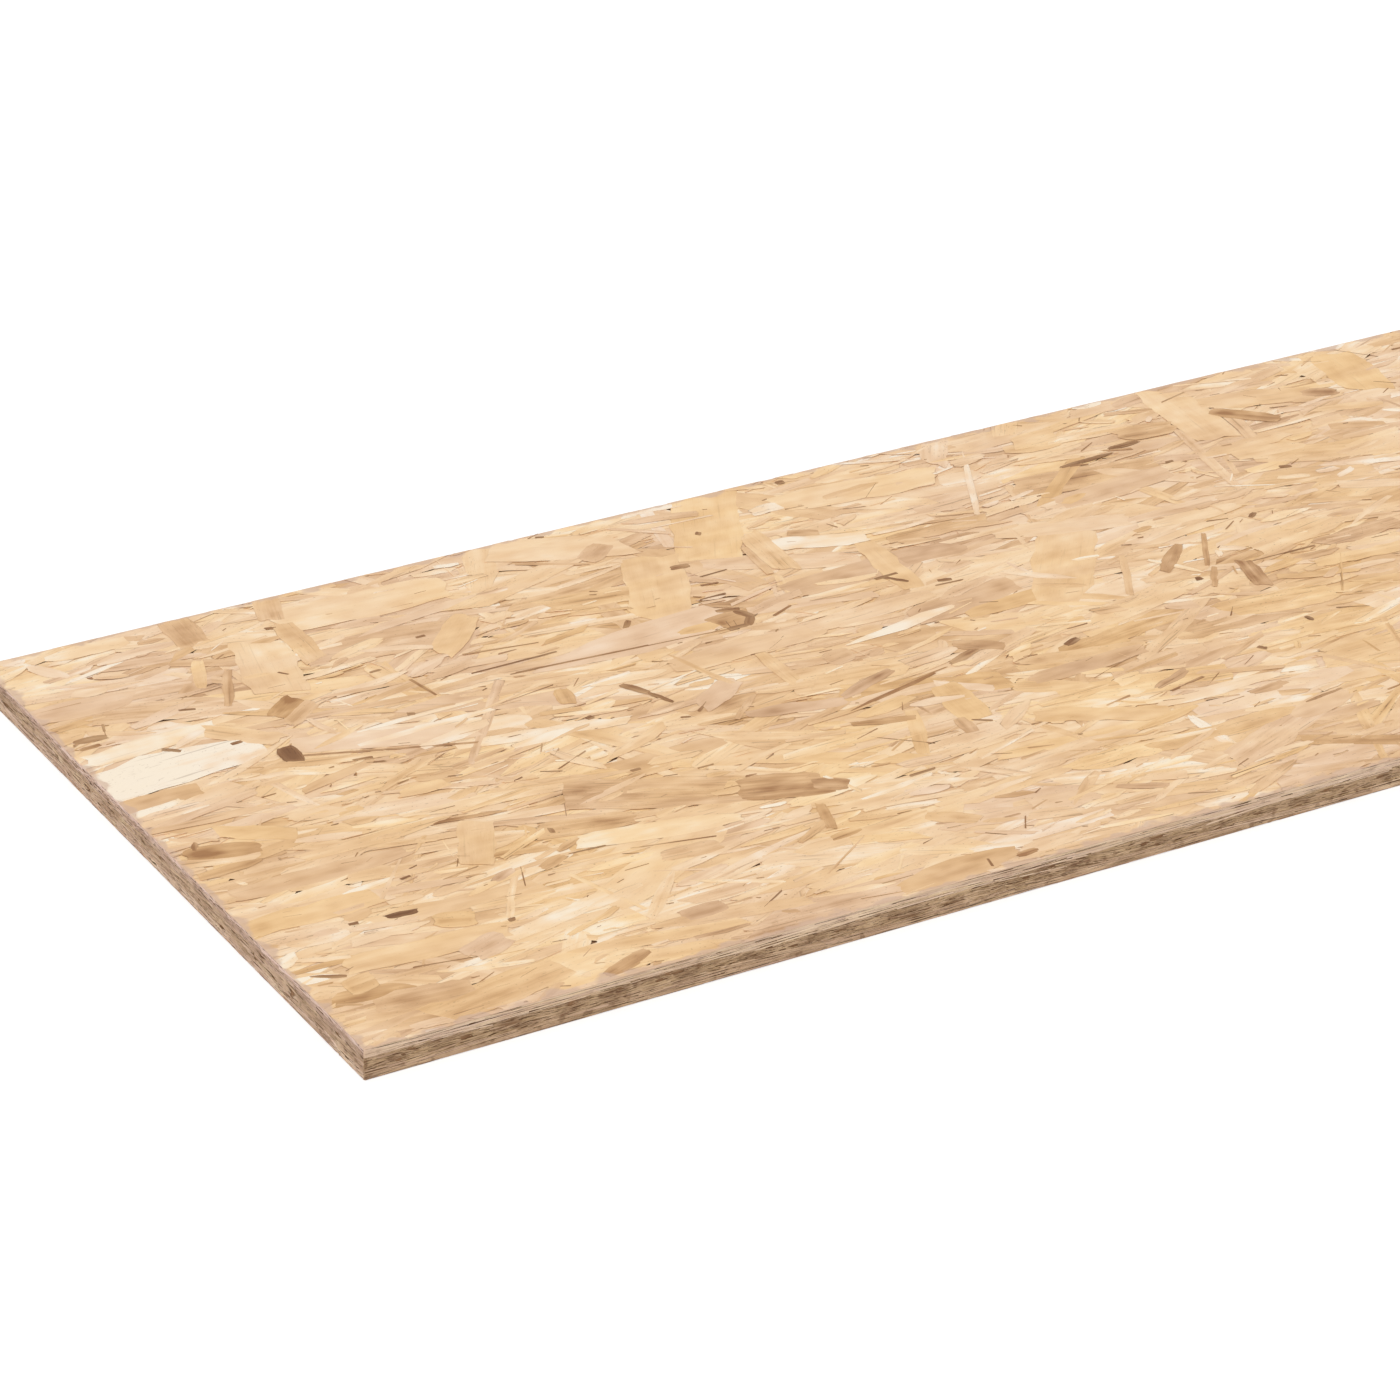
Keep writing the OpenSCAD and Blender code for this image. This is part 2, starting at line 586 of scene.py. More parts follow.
# %% Chips
CHIP_STAIN = -0.2
CHIPS = (
    (-708, 112, 32, 26, 5, 0.2, 0.84, 0.4),
    (-738, 111, 40, 15, 2, 0.6, 0.62, 0.0),
    (-1078, 145, 36, 18, 38, 0.1, 0.90, 0.2),
    (-1072, 132, 44, 16, 36, 0.3, 0.58, 0.5),
    (-1092, 290, 52, 28, 88, 0.1, 0.62, 0.6),
    (-1017, 296, 45, 22, 72, 0.1, 0.58, 0.5),
    (-1021, 235, 70, 21, 87, 0.1, 0.60, 0.4),
    (-1102, 193, 60, 8, 64, 0.3, 0.70, 0.5),
    (-1112, 222, 50, 11, 68, 0.3, 0.42, 0.1),
    (-1040, 51, 136, 4, -19, 0.4, 0.90, 0.8),
    (-1215, -28, 58, 22, -14, 0.4, 0.80, 0.3),
    (-1015, -152, 28, 11, 22, 0.4, 0.68, 0.3),
    (-993, -135, 26, 8, 25, 0.6, 0.72, 0.3),
    (-1055, -152, 26, 10, 25, 0.7, 0.56, 1.2),
    (-1038, -298, 48, 14, 20, 0.6, 0.86, 0.5),
    (-955, -262, 37, 18, 3, 0.3, 0.68, 0.9),
    (-885, 62, 25, 15, 75, 0.4, 0.76, 0.1),
    (-745, 262, 36, 22, 35, 0.3, 0.58, 0.7),
    (-668, 20, 27, 22, 10, 0.3, 0.56, 0.7),
    (-780, -148, 30, 19, -30, 0.5, 0.92, 0.7),
    (-812, -134, 74, 38, -18, 0.3, 0.80, 0.5),
    (-808, -187, 41, 9, 72, 0.2, 0.76, 0.3),
    (-885, -122, 92, 12, -20, 0.4, 0.66, 0.6),
    (-642, -118, 24, 13, 85, 0.2, 0.72, 0.6),
    (-728, -232, 40, 16, -35, 0.5, 0.62, 0.3),
    (-825, -242, 64, 3, 33, 0.5, 0.62, 0.5),
    (-562, -14, 46, 15, -33, 0.2, 0.84, 0.6),
    (-662, -48, 95, 5, 14, 0.8, 1.05, 0.5),
    (-628, -37, 52, 4, 10, 0.8, 0.94, 0.5),
    (-672, -27, 62, 12, 20, 0.6, 0.74, 1.0),
    (-300, -12, 48, 16, 76, 0.2, 0.87, 0.6),
    (-343, 40, 52, 13, 42, 0.5, 0.86, 0.6),
    (-332, -3, 36, 6, 55, 0.3, 0.80, 0.5),
    (-310, 40, 60, 5, 58, 0.4, 0.85, 0.5),
    (-225, 245, 60, 26, -5, 0.5, 0.60, 0.4),
    (-133, 232, 62, 18, -42, 0.3, 0.86, 0.5),
    (-50, 240, 36, 17, -18, 0.5, 0.80, 0.7),
    (-578, -258, 42, 9, -26, 0.5, 0.66, 0.9),
    (-732, -238, 26, 4, -18, 0.8, 0.76, 1.4),
    (-920, -184, 50, 18, -5, 0.4, 0.56, 0.6),
    (-462, -130, 42, 9, 20, 0.5, 0.68, 0.7),
    (-580, 215, 26, 11, -25, 0.3, 0.74, 0.5),
    (-485, -292, 68, 10, 24, 0.6, 0.68, 0.5),
    (-785, 260, 60, 5, -27, 0.6, 0.70, 0.5),
    (-638, 190, 52, 8, 84, 0.2, 0.60, 0.6),
    (-622, 200, 72, 24, 86, 0.2, 0.46, 0.4),
    (-605, 74, 120, 22, 3, 0.5, 0.40, 0.7),
    (-1213, -236, 26, 22, 10, 0.2, 0.56, 0.1),
    (-1182, -270, 75, 26, -6, 0.4, 0.61, 0.6),
    (-1115, -190, 34, 22, -20, 0.4, 0.60, 0.0),
    (-1112, -232, 42, 26, 20, 0.3, 0.54, 1.0),
    (-1126, 121, 66, 22, -42, 0.2, 0.42, 0.4),
    (-1212, 98, 186, 50, 3, 0.75, -0.10, 0.7),
)
print(len(CHIPS), "chips")

# %% [markdown]
# ## Broad flakes
#
# These are the long or broad strands that the eye finds next, paler, yellower or browner than
# those round them. They are laid after the first small strands, which therefore cover them
# here and there. Their rows are like those of the chips.

# %% Broad flakes
FLAKE_STAIN = -0.5
FLAKES = (
    (-1190, 140, 112, 22, 4, 0.3, 0.17, 0.4),
    (-995, 87, 110, 6, 2, 0.7, 0.10, 0.5),
    (-1000, 68, 120, 9, 2, 0.6, 0.13, 0.6),
    (-1050, 121, 200, 10, -5, 0.7, 0.58, 0.7),
    (-1035, 68, 150, 28, -18, 0.4, 0.32, 0.9),
    (-1060, 208, 92, 46, 76, 0.1, 0.38, 0.5),
    (-950, 268, 150, 44, -2, 0.3, 0.25, 0.4),
    (-1215, 215, 90, 28, -4, 0.4, 0.47, 0.9),
    (-1168, -89, 145, 22, 0, 0.4, 0.63, 0.6),
    (-1225, 62, 76, 22, 0, 0.3, 0.64, 0.4),
    (-1182, -15, 60, 20, -30, 0.3, 0.46, 0.0),
    (-925, -147, 130, 24, -10, 0.5, 0.24, 0.1),
    (-930, 13, 58, 12, 5, 0.8, 0.08, 0.5),
    (-732, 186, 118, 50, 65, 0.1, 0.43, 0.2),
    (-640, 266, 130, 56, 62, 0.1, 0.42, 0.1),
    (-768, 282, 112, 40, -20, 0.3, 0.30, 0.5),
    (-910, 190, 72, 26, 45, 0.4, 0.50, 0.3),
    (-680, -110, 70, 13, 65, 0.4, 0.51, 0.1),
    (-780, 12, 54, 22, 30, 0.4, 0.54, 0.9),
    (-720, 66, 140, 28, 0, 0.4, 0.46, 0.6),
    (-740, -35, 82, 16, -12, 0.5, 0.62, 1.0),
    (-625, -85, 60, 30, 85, 0.3, 0.55, 0.0),
    (-598, 42, 115, 12, 9, 0.8, 0.08, 0.5),
    (-578, 197, 88, 22, -17, 0.4, 0.10, 0.6),
    (-550, 135, 90, 24, 85, 0.3, 0.48, 0.2),
    (-500, 262, 150, 36, -5, 0.4, 0.28, 0.3),
    (-390, 128, 125, 26, -14, 0.5, 0.32, 0.6),
    (-310, 168, 125, 28, 5, 0.4, 0.56, 0.8),
    (-425, 72, 140, 50, 52, 0.3, 0.45, 0.3),
    (-500, 36, 84, 20, 4, 0.5, 0.62, 0.0),
    (-505, -80, 112, 20, 3, 0.4, 0.61, 0.7),
    (-540, -152, 112, 22, -24, 0.3, 0.58, 0.2),
    (-440, -160, 122, 14, 0, 0.6, 0.18, 0.6),
    (-385, -216, 70, 24, 15, 0.5, 0.52, 0.6),
    (-765, -297, 110, 28, 4, 0.5, 0.67, 0.4),
    (-105, 256, 110, 30, -15, 0.4, 0.52, 0.4),
    (-175, 255, 112, 46, 86, 0.2, 0.38, 0.4),
    (0, 262, 80, 48, 82, 0.2, 0.46, 0.0),
    (-590, 135, 110, 30, 3, 0.3, 0.68, 0.9),
    (-520, 140, 90, 26, -4, 0.3, 0.69, 0.9),
    (-530, 55, 110, 34, 8, 0.3, 0.62, 0.8),
    (-1150, -215, 130, 26, -3, 0.3, 0.44, 0.2),
    (-1200, -135, 110, 26, 0, 0.3, 0.48, 0.1),
    (-1050, -102, 64, 28, 62, 0.2, 0.42, 0.3),
)
print(len(FLAKES), "broad flakes")

# %% [markdown]
# ## Laying them where they belong
#
# A notable strand is laid like any other, but with a place, size, angle and colour of its own.
# Only the details of its sides and ends are left to chance. One broad strand runs from a knot
# to a long point, which no row describes, so it has a function of its own.

# %% Lay notable strands


def lay_notable(mat, rows):
    """Strands with a place of their own, the topmost first."""
    for x, y, length, width, degrees, taper, tone, hue, dark in rows:
        one_end, other_end = mat.rng.uniform(0.5, 1.2, 2) * taper
        s = new_strand(
            mat.rng, length, width, math.radians(degrees), tone, hue, dark,
            x=x, y=y, bow=0, taper_a=one_end, taper_b=other_end,
            power_a=3.5 - 2 * one_end, power_b=3.5 - 2 * other_end,
            slant_a=mat.rng.normal(0, 0.22), slant_b=mat.rng.normal(0, 0.22),
        )
        mat.lay(s)


def lay_wedge(mat):
    """The broad strand that runs from a knot to a long point."""
    s = new_strand(
        mat.rng, 190, 42, math.radians(6), 0.40, 1.2, -0.5, x=-798, y=116,
        taper_a=0.95, taper_b=0.1, power_a=1.1, power_b=2, slant_a=0, slant_b=-0.3,
        bow=0, wave=0.03,
    )
    mat.lay(s)


# %% [markdown]
# ## More of the same
#
# A board looks alike all over. So the far half of the upper face and the whole underside get
# strands that are as notable as the chosen ones: each is a copy of a row, at a random place.

# %% Repeat notable strands elsewhere
NOTABLE_END = 100  # millimetres past the middle of the board, where the chosen places end
FAR_SHARE, UNDER_SHARE = 1.3, 2.3  # notable strands there, for each chosen one


def strewn(seed, rows, share, first_x):
    """A share as many strands of the same kinds as rows, at random places from first_x on."""
    rng = np.random.default_rng(seed)
    chosen = rng.choice(len(rows), round(share * len(rows)))
    last_x, last_y = BOARD_LENGTH / 2, BOARD_WIDTH / 2
    return [
        (rng.uniform(first_x, last_x), rng.uniform(-last_y, last_y), *rows[i][2:]) for i in chosen
    ]


chips = [(*shape, BARK_TONE, BARK_HUE, dark) for *shape, dark in BARK]
chips += [(*row, CHIP_STAIN) for row in CHIPS]
flakes = [(*row, FLAKE_STAIN) for row in FLAKES]
print(f"{len(chips) + len(flakes)} rows to copy from")

# %% [markdown]
# ## Slivers
#
# Between the notable strands lie dark slivers of bark and resin, some five hundred to the
# square metre. They are too small and too many to choose one by one. A sliver is only laid
# where nothing lies yet, so that it is whole and on top of all that comes later.

# %% Lay slivers
SLIVERS = 900
SLIVER_LENGTH = (8, 2, 2.5, 50)  # the middle one, the usual ratio to it, least and most
SLIVER_WIDTH = (1.2, 1.4, 0.7, 3.5)
SLIVER_LEAN = 25  # degrees


def lay_slivers(mat, count):
    """Small dark bits at random places, as far as those are bare."""
    rng = mat.rng
    for _ in range(count):
        length, width = spread(rng, *SLIVER_LENGTH), spread(rng, *SLIVER_WIDTH)
        s = new_strand(
            rng, length, width, math.radians(rng.normal(0, SLIVER_LEAN)),
            BARK_TONE, rng.random(), rng.uniform(0, 0.6),
        )
        s.x, s.y = (rng.uniform(-0.5, 0.5) * span for span in mat.span)
        mat.lay(s, 1.0)


print(SLIVERS, "slivers are thrown onto each face")

# %% [markdown]
# ## The mats of the two faces
#
# Broken strands and fines sift to the top, so the first layers hold many short and narrow
# ones, and the long wide strands show between and below them. Each stage fills the mat a
# little further with a longer kind of strand, and is less strict about how much of it shows.

# %% Lay the faces
SAW_MARGIN = 40
FACE_CELL = 1.0
FACE_STEP = 0.035
FACE_STAGES = (  # share covered at the end, least bare share, odds of long, broken and fine
    (0.12, 0.70, (0.00, 0.40, 0.60)),
    (0.36, 0.50, (0.06, 0.46, 0.48)),
    (0.72, 0.25, (0.28, 0.47, 0.25)),
    (0.97, 0.10, (0.62, 0.32, 0.06)),
    (0.9996, 0.0, (0.85, 0.15, 0.00)),
)


def lay_face(seed, notable, flakes, wedge):
    """The mat of one face, a little larger than the board, as before it is sawn."""
    mat = Mat(
        BOARD_LENGTH + SAW_MARGIN, BOARD_WIDTH + SAW_MARGIN, FACE_CELL, FACE_CELL, FACE_STEP, seed
    )
    rng = mat.rng
    lay_notable(mat, notable)
    if wedge:
        lay_wedge(mat)
    lay_slivers(mat, SLIVERS)
    for stage, (goal, least_bare, odds) in enumerate(FACE_STAGES):

        def draw(x, y, odds=odds):
            return face_strand(rng, rng.choice(list(KINDS), p=odds), x, y, seed)

        fill_mat(mat, goal, least_bare, draw)
        if stage == 0:
            lay_notable(mat, flakes)
    return mat


top_mat = lay_face(
    seed=11, notable=chips + strewn(31, chips, FAR_SHARE, NOTABLE_END),
    flakes=flakes + strewn(32, flakes, FAR_SHARE, NOTABLE_END), wedge=True,
)
under_mat = lay_face(
    seed=12, notable=strewn(33, chips, UNDER_SHARE, -BOARD_LENGTH / 2),
    flakes=strewn(34, flakes, UNDER_SHARE, -BOARD_LENGTH / 2), wedge=False,
)
for name, mat in (("top", top_mat), ("underside", under_mat)):
    deepest = max(s.depth for s in mat.strands)
    print(f"{name}: {len(mat.strands)} strands, the deepest {deepest:.2f} mm down")

# %% [markdown]
# ## The cut edges
#
# A saw cut shows the mat from the side. Under each face is a pale layer whose strands lie
# along the board, and between them a browner core whose strands lie across it, looser and
# with small holes. On a long edge the saw splits the face strands lengthwise, so they show as
# long thin lines, and cuts the core strands across, so they show as short ones. On the two
# ends it is the other way round.

# %% Layers of a sawn edge
SKIN, TOP, CORE, BOTTOM = range(4)  # the layers, from the upper face down
LAYER_ENDS = (  # layer, millimetres down to its end, and how much of the waves its end follows
    (SKIN, 3.5, 0.3),
    (TOP, 8.0, 1.0),
    (CORE, BOARD_THICKNESS - 6.5, 0.8),
)
LAYER_WAVES = ((1.0, (30, 60)), (0.7, (8, 16)))  # height of each wave, least and most reach
LONG_SPLITS = ((25, 110), 1.6)  # least and most length, and spread of the lean in degrees
END_SPLITS = ((8, 60), 4)
CROSS_CUTS = ((5, 32), 6)
CUT_WIDTH = (0.7, 1.6)
# For each layer, the middle tone, how far it spreads and the middle hue
LONG_EDGE_TONES = ((0.28, 0.035, 0.4), (0.30, 0.045, 0.4), (0.75, 0.08, 0.3), (0.585, 0.06, 0.4))
END_TONES = ((0.06, 0.04, 1.4), (0.45, 0.08, 1.1), (0.50, 0.09, 0.5), (0.31, 0.09, 0.6))


def layer_at(x, y, waves):
    """The layer that lies at a place of an edge. The lines between layers sway."""
    sway = sum(height * math.sin(x / reach + start) for height, reach, start in waves)
    down = BOARD_THICKNESS / 2 - y
    for layer, end, share in LAYER_ENDS:
        if down < end + share * sway:
            return layer
    return BOTTOM


for down in (2, 5, 12, 22):
    print(f"{down} mm down lies layer {layer_at(0, BOARD_THICKNESS / 2 - down, [])}")

# %% [markdown]
# ## The mats of the four edges
#
# The mat that lays the faces does the edges too, over a strip as high as the board is thick and
# with smaller cells. The holes are ovals of the core that are kept bare from the start, so that
# no strand reaches into them.

# %% Lay the edges
EDGE_MARGIN = 4
EDGE_CELL = (1.0, 0.25)
EDGE_STEP = 0.03
EDGE_STAGES = ((0.80, 0.30), (0.992, 0.0))  # share covered at the end, least bare share
POCKETS = {True: 104, False: 52}  # on a long edge, and on an end
POCKET_LENGTH = (3.5, 1.6, 1.5, 9)  # the middle one, the usual ratio to it, least and most
POCKET_HEIGHT = (1.7, 1.4, 0.8, 3.5)
POCKET_SCATTER = 2.5  # millimetres up and down from the middle of the board
MOST_SUNK = {False: 0.05, True: 0.3}  # millimetres, outside the core and in it


def lay_edge(span, long_edge, seed):
    """The cut strands of one edge. y runs up from the middle of the board's thickness."""
    mat = Mat(span + SAW_MARGIN, BOARD_THICKNESS + EDGE_MARGIN, *EDGE_CELL, EDGE_STEP, seed)
    rng = mat.rng
    tones = LONG_EDGE_TONES if long_edge else END_TONES
    waves = [(height, rng.uniform(*reaches), rng.uniform(0, 6)) for height, reaches in LAYER_WAVES]
    for _ in range(POCKETS[long_edge]):
        mat.leave_open(
            rng.uniform(-0.5, 0.5) * span, rng.normal(0, POCKET_SCATTER),
            spread(rng, *POCKET_LENGTH), spread(rng, *POCKET_HEIGHT),
        )

    def draw(x, y):
        layer = layer_at(x, y, waves)
        lengths, lean_spread = CROSS_CUTS
        if (layer != CORE) == long_edge:
            lengths, lean_spread = LONG_SPLITS if long_edge else END_SPLITS
        length, lean = rng.uniform(*lengths), math.radians(rng.normal(0, lean_spread))
        width = rng.uniform(*CUT_WIDTH)
        tone, tone_spread, hue = tones[layer]
        return new_strand(
            rng, length, width, lean, rng.normal(tone, tone_spread), rng.normal(hue, 0.2),
            slant_a=rng.normal(0, 2), slant_b=rng.normal(0, 2), bow=rng.normal(0, 0.6) / length,
            depth=rng.uniform(0, MOST_SUNK[layer == CORE]),
        )

    for goal, least_bare in EDGE_STAGES:
        fill_mat(mat, goal, least_bare, draw)
    return mat


edge_mats = {
    "right": lay_edge(BOARD_LENGTH, True, 21),
    "left": lay_edge(BOARD_LENGTH, True, 22),
    "back": lay_edge(BOARD_WIDTH, False, 23),
    "front": lay_edge(BOARD_WIDTH, False, 24),
}
for name, mat in edge_mats.items():
    print(f"{name} edge: {len(mat.strands)} cut strands")

# %% [markdown]
# ## From numbers to meshes
#
# Every strand is a small grid, bent to its own outline. A grid of each size is made with
# bmesh, and the thousands of copies are worked out as arrays, which takes a second where an
# operator for each strand would take minutes. Narrow strands get fewer points than wide ones,
# whose torn ends show.

# %% A grid for a strand
SIZES = ((0, 4.5, 4, 3), (4.5, 16, 7, 5), (16, 1000, 11, 6))  # widths, points along and across


def unit_grid(along, across):
    """Column and row of each point of a grid, and its faces, anticlockwise from above."""
    shape = bmesh.new()
    bmesh.ops.create_grid(shape, x_segments=along - 1, y_segments=across - 1, size=1)
    points = np.array([v.co[:2] for v in shape.verts])
    faces = np.array([[v.index for v in f.verts] for f in shape.faces])
    shape.free()
    column = np.rint((points[:, 0] + 1) / 2 * (along - 1)).astype(int)
    row = np.rint((points[:, 1] + 1) / 2 * (across - 1)).astype(int)
    return column, row, faces


def inner_share(count):
    """Places from -1 to 1 of a row of points, whose first and last sit on the rim."""
    inner = np.linspace(-1, 1, count - 2) if count > 3 else np.zeros(1)
    return np.concatenate([[-1], inner, [1]])


print("points of a strand, from narrow to wide:", [along * across for *_, along, across in SIZES])

# %% [markdown]
# ## Bending the grid to an outline
#
# The outermost ring of the grid is the rim: it drops by up to a tenth of a millimetre, as
# pressed strands do, and so it closes down onto the strand beneath. The ring next to it ends
# the skirt, over which the colour may fade. The rim value is 1 on the rim, a half on that ring
# and 0 inside. The narrowest strands have no skirt.

# %% Shape strands
MOST_RIM_ALONG = 0.2  # of half the length of a strand
LEAST_INSIDE = 0.55  # of the width of a strand lies inside its rim
LEAST_HALF_WIDTH = 0.15  # millimetres, where a strand runs out to a point


def shaped(s, along_count, across_count, rim, seeds):
    """Points, faces and surface values of strands s, which all get a grid of one size."""
    rim_width, rim_drop = rim
    column, row, faces = unit_grid(along_count, across_count)
    at_end = (column == 0) | (column == along_count - 1)
    at_side = (row == 0) | (row == across_count - 1)
    s = SimpleNamespace(**{k: getattr(s, k)[:, None] for k in FIELDS})
    rim_along = np.minimum(2 * rim_width / s.length, MOST_RIM_ALONG)
    along = inner_share(along_count)[column] * np.where(at_end, 1, 1 - rim_along)
    share = inner_share(across_count)[row]
    half = np.maximum(half_width(s, along, np.sign(share)), LEAST_HALF_WIDTH)
    inner = np.maximum(half - rim_width, LEAST_INSIDE * half)
    v = share * np.where(at_side, half, inner)
    slant = s.slant_a * (1 - along) / 2 + s.slant_b * (1 + along) / 2
    torn = torn_back(s, v / half) * np.sign(along) * np.abs(along) ** 3
    u = along * s.length / 2 - torn + slant * v
    v = v + centre_line(s, along)
    next_in = (column == 1) | (column == along_count - 2) | (row == 1) | (row == across_count - 2)
    ones = np.ones_like(u)
    on_rim = np.where(at_end | at_side, 1.0, 0.0) * ones
    skirt = np.where(next_in & (across_count > 4), 1.0, on_rim)
    x = s.x + u * np.cos(s.angle) - v * np.sin(s.angle)
    y = s.y + u * np.sin(s.angle) + v * np.cos(s.angle)
    z = -s.depth - rim_drop * on_rim
    return SimpleNamespace(
        points=np.stack([x, y, z], 2) / 1000,
        grain=np.stack([u / 1000, v / 1000, seeds[:, None] * ones], 2),
        looks=np.stack([s.tone * ones, s.hue * ones, s.dark * ones], 2),
        rim=(on_rim + skirt) / 2,
        faces=faces,
    )


# %% [markdown]
# ## One mesh of many strands
#
# All strands of a piece are joined to one mesh, because thousands of objects would be slow to
# show and hard to handle. The deepest come first, which the flat map needs further on. The
# points keep three values for the material: where they are along and across the grain, how the
# strand looks, and the rim. Each face keeps the order of its strand, because sawing mixes the
# faces up.

# %% Join strands to a mesh
POINT_VALUES = {"grain": "FLOAT_VECTOR", "looks": "FLOAT_VECTOR", "rim": "FLOAT"}
GRAIN_SEED = 9
BEND_ROOM = 2  # millimetres that a bent strand may reach past a straight one


def gathered(mat):
    """All strands of a mat as one set of arrays, the deepest first."""
    found = {k: np.array([getattr(s, k) for s in mat.strands], float) for k in FIELDS}
    order = np.argsort(-found["depth"], kind="stable")
    return SimpleNamespace(**{k: v[order] for k, v in found.items()})


def joined_arrays(mat, low, high, rim):
    """One set of arrays for the strands between two places across the mat, the deepest first."""
    s = gathered(mat)
    seeds = np.random.default_rng(GRAIN_SEED).uniform(0, 50, len(s.x))
    reach = (np.abs(np.sin(s.angle)) * s.length + s.width) / 2 + BEND_ROOM
    near = (s.y + reach > low) & (s.y - reach < high)
    parts = []
    start = 0
    for least, most, along_count, across_count in SIZES:
        chosen = near & (s.width >= least) & (s.width < most)
        some = SimpleNamespace(**{k: getattr(s, k)[chosen] for k in FIELDS})
        made = shaped(some, along_count, across_count, rim, seeds[chosen])
        count, size = made.rim.shape
        offsets = start + size * np.arange(count)
        parts.append({
            "points": made.points.reshape(-1, 3),
            "grain": made.grain.reshape(-1, 3),
            "looks": made.looks.reshape(-1, 3),
            "rim": made.rim.reshape(-1),
            "faces": (made.faces[None] + offsets[:, None, None]).reshape(-1, 4),
            "order": np.repeat(np.flatnonzero(chosen), len(made.faces)),
        })
        start += count * size
    joined = {key: np.concatenate([part[key] for part in parts]) for key in parts[0]}
    deepest_first = np.argsort(joined["order"], kind="stable")
    for key in ("faces", "order"):
        joined[key] = joined[key][deepest_first]
    return SimpleNamespace(**joined)


def mesh_from_arrays(name, made):
    """A mesh with the grain, looks and rim values at its points, and each face's order."""
    mesh = bpy.data.meshes.new(name)
    mesh.from_pydata(made.points, [], made.faces)
    for key, kind in POINT_VALUES.items():
        values = mesh.attributes.new(key, kind, "POINT")
        field = "value" if kind == "FLOAT" else "vector"
        values.data.foreach_set(field, getattr(made, key).astype(np.float32).ravel())
    order = mesh.attributes.new("order", "INT", "FACE")
    order.data.foreach_set("value", made.order.astype(np.int32))
    return mesh


print("values kept at each point:", ", ".join(POINT_VALUES))

# %% [markdown]
# ## Sawing
#
# The strands run past the board's outline, as they do in the press. Cutting planes trim them
# there, which gives the sawn edge. A fresh arris is sharp, but handling soon wears it, so the
# last half millimetre of each face bends down to the cut. A boolean could trim the mesh too,
# but it would be slow on so many open strands.

# %% Saw a mesh
ARRIS = 0.4  # millimetres, as on the CAD solid
CORNER_ARRIS = 0.8
ON_PLANE = 1e-7  # metres: a point so near a cut isn't cut off again
AT_SAWN_FACE = 1e-6  # metres: a point so near a sawn face has all of its wear


def plane(x, y, direction_x, direction_y, worn):
    """An upright sawing plane through a place, in mm, facing the waste."""
    direction = Vector((direction_x, direction_y, 0)).normalized()
    return Vector((x, y, 0)) / 1000, direction, worn / 1000


def cut(shape, point, direction, clear):
    """Cuts all of a bmesh along a plane, and clears what lies beyond it if asked."""
    everything = shape.verts[:] + shape.edges[:] + shape.faces[:]
    bmesh.ops.bisect_plane(
        shape, geom=everything, dist=ON_PLANE, plane_co=point, plane_no=direction, clear_outer=clear
    )


def saw(shape, planes):
    """Saws off what lies beyond each plane. A worn arris bends down to the sawn face."""
    for point, direction, worn in planes:
        if worn:
            cut(shape, point - worn * direction, direction, False)
        cut(shape, point, direction, True)
    worn_planes = [plane for plane in planes if plane[2]]
    for v in shape.verts:
        met = [
            worn for point, direction, worn in worn_planes
            if (v.co - point).dot(direction) > -AT_SAWN_FACE
        ]
        v.co.z -= max(met, default=0)


print(f"the faces are worn over {ARRIS} mm and the corners over {CORNER_ARRIS} mm")

# %% [markdown]
# ## A flat map for the colours
#
# Through this map the colours can be baked into a picture for each piece.
# Each piece is nearly flat, so its map is its own outline seen from above. Where strands lie
# over each other they share a place in the map, and there the face that is baked last counts.
# That is why the topmost strands come last in the mesh. A long piece would use only a thin
# strip of a square picture, so its length is folded into rows, one above the other, and the
# piece is cut where the rows meet.

# %% Lay out the map
BAKE_MAP = "OFBake"


def lay_out_map(mesh, low, high, rows):
    """The piece's flat texture map: its length folded into rows, one above the other."""
    mesh.uv_layers.new(name=BAKE_MAP)
    corners = np.empty(len(mesh.loops), np.int32)
    mesh.loops.foreach_get("vertex_index", corners)
    points = np.empty(len(mesh.vertices) * 3, np.float32)
    mesh.vertices.foreach_get("co", points)
    at = points.reshape(-1, 3)[corners, :2]
    totals = np.empty(len(mesh.polygons), np.int32)
    mesh.polygons.foreach_get("loop_total", totals)
    face = np.repeat(np.arange(len(totals)), totals)
    middle = np.bincount(face, at[:, 0]) / totals
    share = (middle - low[0]) / (high[0] - low[0])
    row = np.clip((share * rows).astype(int), 0, rows - 1)[face]
    u = (at[:, 0] - low[0]) / (high[0] - low[0]) * rows - row
    v = (row + (at[:, 1] - low[1]) / (high[1] - low[1])) / rows
    places = np.stack([u, v], 1).astype(np.float32)
    mesh.uv_layers[BAKE_MAP].uv.foreach_set("vector", places.ravel())


print("the map is called", BAKE_MAP)

# %% [markdown]
# ## One sawn piece
#
# A piece is one strip of a face or one whole edge: its strands are joined, sawn, folded into
# the map and put in their place. The faces are divided into strips so that no mesh grows too
# large. The strips meet on straight cuts that don't show.

# %% Make a piece


